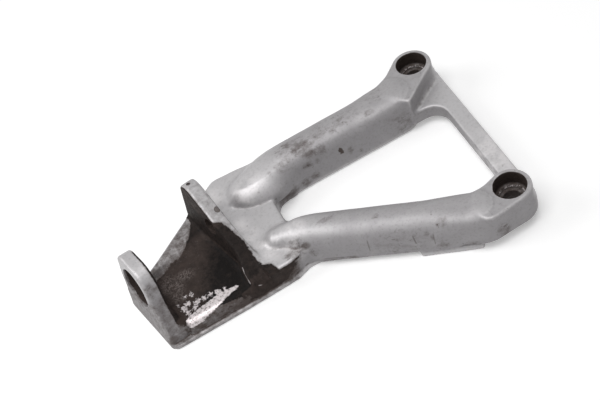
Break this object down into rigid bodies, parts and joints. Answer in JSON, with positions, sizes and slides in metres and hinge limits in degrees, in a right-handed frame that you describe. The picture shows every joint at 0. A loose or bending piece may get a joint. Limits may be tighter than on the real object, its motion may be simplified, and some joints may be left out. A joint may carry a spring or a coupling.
{
  "type": "motorcycle footrest hanger",
  "caption": "V-shaped cast footrest hanger: two rounded arms join counterbored bosses and a tie strap to a clevis with a large eye.",
  "frame": {"origin": "on the flat back of the clevis base, between the two ears", "axes": "+X from the clevis towards the bolt bosses, +Y from the near boss to the far boss, +Z out of the flat back towards the boss faces"},
  "size_m": [0.1832, 0.1172, 0.0366],
  "materials": {
    "painted_casting": "worn satin silver paint on a cast surface"
  },
  "bodies": {
    "root": {"hanger_casting": "painted_casting"}
  },
  "joints": []
}
